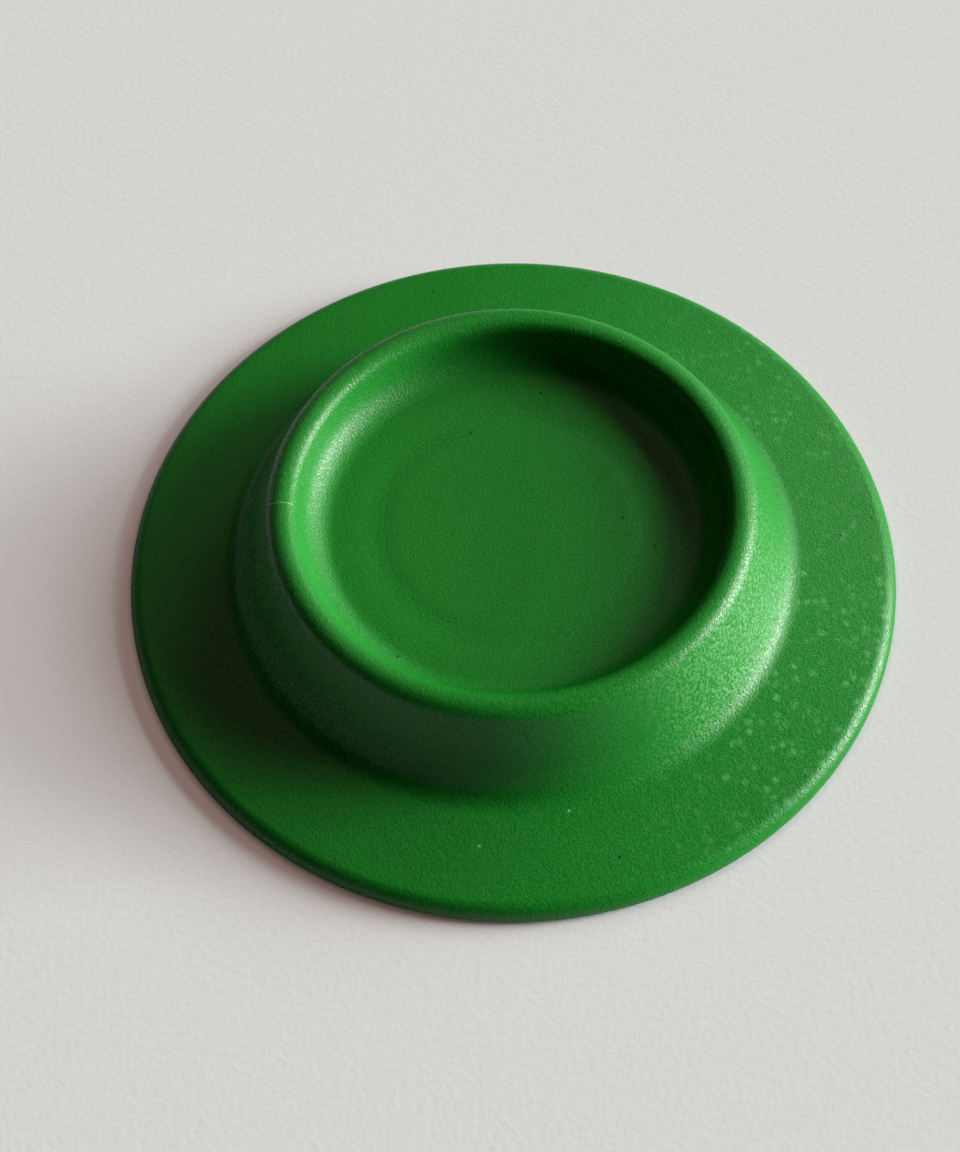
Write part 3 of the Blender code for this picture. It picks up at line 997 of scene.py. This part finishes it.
def green_plastic():
    """Marks of wear and of painted light blend their colours over the green; relief is unevenness,
    then grain, then knit.
    """
    material, tree, shader, place = new_finish("green_plastic_finish")
    plan = in_plan(tree, place)
    drift = grain(tree, place, DRIFT_SIZE, detail=3.0)
    fine = grain(tree, place, GRAIN_SIZE, detail=3.0, roughness=0.65)
    gloss = grain(tree, place, GLOSS_SIZE, detail=3.0, roughness=0.6)
    knit = knit_line(tree, place)
    crest = between(tree, plan, inner=22.0, outer=24.2, soft=0.2)
    # Painted glint: the knit line's paler colour, only on the crest.
    knit_glint_on_crest = maths(tree, "MULTIPLY", knit, crest)
    tone = clouded(tree, drift, 0.35, 0.65, GREEN, GREEN_DRIFTED)
    marks = (
        # Painted shade on the grains.
        (spread(tree, fine, 0.38, 0.62, 0.0, 0.55), GREEN_GRAIN_SHADE),
        # Painted glint of the knit line on the crest.
        (maths(tree, "MULTIPLY", knit_glint_on_crest, KNIT_GLINT_SHARE), SCUFF_AND_GLINT_GREEN),
        # Partly wear, partly painted highlight on the outer wall.
        (scuffed_and_highlit_wall(tree, place, plan), SCUFF_AND_GLINT_GREEN),
        # Painted highlight inside the crown.
        (painted_crown_highlight(tree, place, plan), SCUFF_AND_GLINT_GREEN),
        (brim_dots(tree, place, plan), DOT_GREEN),
        (specks(tree, plan, SPECKS, SPECK_SIZE), SPECK_DARK),
        (specks(tree, plan, DUST, DUST_SIZE), DUST_PALE),
    )
    for share, colour in marks:
        tone = blend(tree, share, tone, colour)
    satin = spread(tree, gloss, 0.42, 0.58, 0.20, 0.48)
    uneven = relief(tree, grain(tree, place, UNEVEN_SIZE), UNEVEN_DEPTH)
    grained = relief(tree, fine, GRAIN_DEPTH, uneven)
    knitted = relief(tree, knit, KNIT_DEPTH, grained)
    dress(tree, shader, Base_Color=tone, Roughness=satin, Normal=knitted)
    shader.inputs["Specular IOR Level"].default_value = GREEN_SPECULAR
    return material


# %% [markdown]
# ### The hidden pieces' finishes
# The cover is the same kind of plastic from a smoother mould. Nickel and zinc plating differ in
# colour, gloss and the size of their clouds, so one function makes both. The seal's rubber has
# the faint bloom that rubber gets with age.


# %% Cover plastic, platings and rubber
def cover_plastic():
    """A satin face whose green drifts over 9 mm and whose gloss and relief share one noise."""
    material, tree, shader, place = new_finish("cover_plastic_finish")
    drift = grain(tree, place, 9 * MM, detail=3.0)
    tone = clouded(tree, drift, 0.35, 0.65, (0.008, 0.130, 0.012), (0.010, 0.150, 0.015))
    gloss = grain(tree, place, 0.4 * MM)
    satin = spread(tree, gloss, 0.3, 0.7, 0.45, 0.60)
    dress(tree, shader, Base_Color=tone, Roughness=satin, Normal=relief(tree, gloss, 0.006 * MM))
    return material


def plated(name, dull, bright, rough, cloud_size):
    """A plated metal: cloudy tone, and pits that vary the gloss from 0.8 to 1.3 times rough."""
    material, tree, shader, place = new_finish(name)
    cloud = grain(tree, place, cloud_size, detail=4.0)
    tone = clouded(tree, cloud, 0.3, 0.7, dull, bright)
    pits = grain(tree, place, 0.1 * MM, detail=3.0)
    gloss = spread(tree, pits, 0.3, 0.7, rough * 0.8, rough * 1.3)
    dress(tree, shader, Base_Color=tone, Roughness=gloss, Normal=relief(tree, pits, 0.002 * MM))
    shader.inputs["Metallic"].default_value = 1.0
    return material


def black_rubber():
    """Matt rubber: patches of bloom 1.5 mm wide, greyer and duller, over a fine tooth."""
    material, tree, shader, place = new_finish("black_rubber_finish")
    bloom = grain(tree, place, 1.5 * MM, detail=4.0)
    tone = clouded(tree, bloom, 0.4, 0.7, (0.014, 0.014, 0.014), (0.030, 0.030, 0.031))
    matt = spread(tree, bloom, 0.3, 0.7, 0.62, 0.8)
    tooth = relief(tree, grain(tree, place, 0.12 * MM), 0.004 * MM)
    dress(tree, shader, Base_Color=tone, Roughness=matt, Normal=tooth)
    return material


# %% [markdown]
# ### Foam and liner
# The pad is closed-cell foam, and its cells show on the cut edge. A Voronoi's distance is 0 at
# the middle of each cell and highest at the walls, which is just what a sponge of cells needs.
# The liner is paper-like film with a silicone coat: faint fibres, slow waves and a soft gloss.

# %% Foam and liner film
FOAM_CELL = 0.2 * MM


def adhesive_foam():
    """Closed-cell foam: colour, gloss and relief all rise from a cell's middle to its wall; the
    darker middle is painted shade.
    """
    material, tree, shader, place = new_finish("adhesive_foam_finish")
    cells = add_node(tree, "ShaderNodeTexVoronoi", {"Vector": place, "Scale": 1 / FOAM_CELL})
    depth = cells.outputs["Distance"]
    # Painted shade: each cell's hollow middle is darker.
    tone = clouded(tree, depth, 0.0, 0.7, (0.58, 0.58, 0.56), (0.72, 0.72, 0.70))
    matt = spread(tree, depth, 0.0, 0.7, 0.75, 0.95)
    dress(tree, shader, Base_Color=tone, Roughness=matt, Normal=relief(tree, depth, 0.03 * MM))
    return material


def liner_film():
    """Pale film: fibres of 0.5 mm set colour and gloss, waves of 6 mm the relief."""
    material, tree, shader, place = new_finish("liner_film_finish")
    waves = grain(tree, place, 6 * MM)
    fibres = grain(tree, place, 0.5 * MM, detail=4.0)
    tone = clouded(tree, fibres, 0.3, 0.7, (0.74, 0.74, 0.70), (0.80, 0.80, 0.77))
    soft = spread(tree, fibres, 0.3, 0.7, 0.35, 0.5)
    dress(tree, shader, Base_Color=tone, Roughness=soft, Normal=relief(tree, waves, 0.05 * MM))
    return material


# %% [markdown]
# ### The paper
# The photograph shows the paper's shadow lifted by haze, pale and warm. More light would lift it
# too, but would also light the holder. So the paper glows a little, for the camera and for
# mirror rays only, and the glow fades out under the rim, where the gap is dark. Haze lies in
# front of the lens, so the paper's mirror image has only a third of the glow.

# %% Paper
PAPER = (0.535, 0.608, 0.611)
PAPER_PALE = (0.558, 0.631, 0.634)
TOOTH_SIZE = 0.7 * MM
TOOTH_DEPTH = 0.034 * MM
HAZE = (0.190, 0.120, 0.110, 1.0)
MIRRORED_GLOW = 0.33
GLOW_UNDER_RIM = 0.1
UNDER_RIM = 39.5 * MM
OPEN_PAPER = 40.6 * MM


def floor_paper():
    """Smooth paper with a faint tooth, and a glow of max(camera ray, 0.33 * mirror ray).

    The glow is whole on the open paper and falls to a tenth under the rim.
    """
    material, tree, shader, place = new_finish("floor_paper_finish")
    tooth = grain(tree, place, TOOTH_SIZE, detail=4.0, roughness=0.62)
    tone = clouded(tree, tooth, 0.3, 0.7, PAPER, PAPER_PALE)
    path = add_node(tree, "ShaderNodeLightPath").outputs
    mirrors = maths(tree, "MAXIMUM", path["Is Glossy Ray"], path["Is Transmission Ray"])
    mirrored = maths(tree, "MULTIPLY", mirrors, MIRRORED_GLOW)
    seen = maths(tree, "MAXIMUM", path["Is Camera Ray"], mirrored)
    radius = vector_maths(tree, "LENGTH", place, output="Value")
    open_paper = spread(tree, radius, UNDER_RIM, OPEN_PAPER, GLOW_UNDER_RIM)
    glow = maths(tree, "MULTIPLY", seen, open_paper)
    shader.inputs["Roughness"].default_value = 0.9
    shader.inputs["Specular IOR Level"].default_value = 0.0
    shader.inputs["Emission Color"].default_value = HAZE
    dress(tree, shader, Base_Color=tone, Normal=relief(tree, tooth, TOOTH_DEPTH),
          Emission_Strength=glow)
    return material


# %% [markdown]
# ## Dressing the frame
# Each piece gets its finish and rides on the part's only body, and the CAD solid that it
# covers stays hidden. The paper only gets its finish.

# %% Put each finish on its piece, and tie each piece to the frame
NICKEL = {"dull": (0.50, 0.48, 0.44), "bright": (0.60, 0.58, 0.54), "rough": 0.22}
ZINC = {"dull": (0.36, 0.37, 0.38), "bright": (0.47, 0.48, 0.50), "rough": 0.38}
nickel = plated("nickel_finish", cloud_size=5 * MM, **NICKEL)
zinc = plated("zinc_finish", cloud_size=2 * MM, **ZINC)
pieces = {
    "green_plastic": (green_plastic(), [moulding, crown_ribs], ["holder_body"]),
    "nickel_plating": (nickel, [magnet], ["magnet"]),
    "zinc_plated_steel": (zinc, [plate], ["steel_backing_plate"]),
    "black_rubber": (black_rubber(), [seal], ["seal_ring"]),
    "cover_plastic": (cover_plastic(), [cover], ["back_cover"]),
    "adhesive_foam": (adhesive_foam(), [pad], ["adhesive_pad"]),
    "liner_film": (liner_film(), [liner], ["release_liner"]),
}
for slot, (finish, made, nodes) in pieces.items():
    for piece in made:
        piece.data.materials.append(finish)
        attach(piece, "root")
        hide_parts(*nodes)
        print(piece.name, "wears", finish.name, "and stands for", ", ".join(nodes))
floor.data.materials.append(floor_paper())
